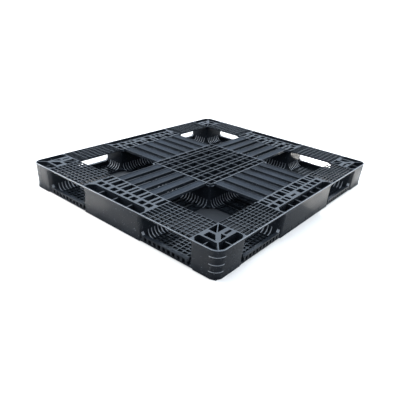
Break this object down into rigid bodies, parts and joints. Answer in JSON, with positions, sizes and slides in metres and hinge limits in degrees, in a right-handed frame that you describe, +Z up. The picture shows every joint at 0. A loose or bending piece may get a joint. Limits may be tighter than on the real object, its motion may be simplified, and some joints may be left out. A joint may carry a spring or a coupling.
{
  "type": "plastic pallet",
  "caption": "Welded double-deck plastic pallet with solid-walled blocks, lattice strips, slatted cross beams, open windows and four-way fork entry, for stacking and moving goods",
  "frame": {"origin": "on the floor, under the centre of the pallet", "axes": "+X to the right across the short side, +Y to the back along the long side, +Z up"},
  "size_m": [1.1, 1.3, 0.12],
  "materials": {
    "black_plastic": "moulded, satin to semi-gloss"
  },
  "bodies": {
    "root": {"upper_corner_block_front_left": "black_plastic", "upper_end_lattice_front_left": "black_plastic", "upper_side_lattice_front_left": "black_plastic", "upper_corner_block_front_right": "black_plastic", "upper_end_lattice_front_right": "black_plastic", "upper_side_lattice_front_right": "black_plastic", "upper_end_block_front": "black_plastic", "upper_end_beam_front": "black_plastic", "upper_corner_block_back_left": "black_plastic", "upper_end_lattice_back_left": "black_plastic", "upper_side_lattice_back_left": "black_plastic", "upper_corner_block_back_right": "black_plastic", "upper_end_lattice_back_right": "black_plastic", "upper_side_lattice_back_right": "black_plastic", "upper_end_block_back": "black_plastic", "upper_end_beam_back": "black_plastic", "upper_side_block_left": "black_plastic", "upper_side_beam_left": "black_plastic", "upper_side_block_right": "black_plastic", "upper_side_beam_right": "black_plastic", "upper_centre_block": "black_plastic", "lower_corner_block_front_left": "black_plastic", "lower_end_lattice_front_left": "black_plastic", "lower_side_lattice_front_left": "black_plastic", "lower_corner_block_front_right": "black_plastic", "lower_end_lattice_front_right": "black_plastic", "lower_side_lattice_front_right": "black_plastic", "lower_end_block_front": "black_plastic", "lower_end_beam_front": "black_plastic", "lower_corner_block_back_left": "black_plastic", "lower_end_lattice_back_left": "black_plastic", "lower_side_lattice_back_left": "black_plastic", "lower_corner_block_back_right": "black_plastic", "lower_end_lattice_back_right": "black_plastic", "lower_side_lattice_back_right": "black_plastic", "lower_end_block_back": "black_plastic", "lower_end_beam_back": "black_plastic", "lower_side_block_left": "black_plastic", "lower_side_beam_left": "black_plastic", "lower_side_block_right": "black_plastic", "lower_side_beam_right": "black_plastic", "lower_centre_block": "black_plastic"}
  },
  "joints": []
}
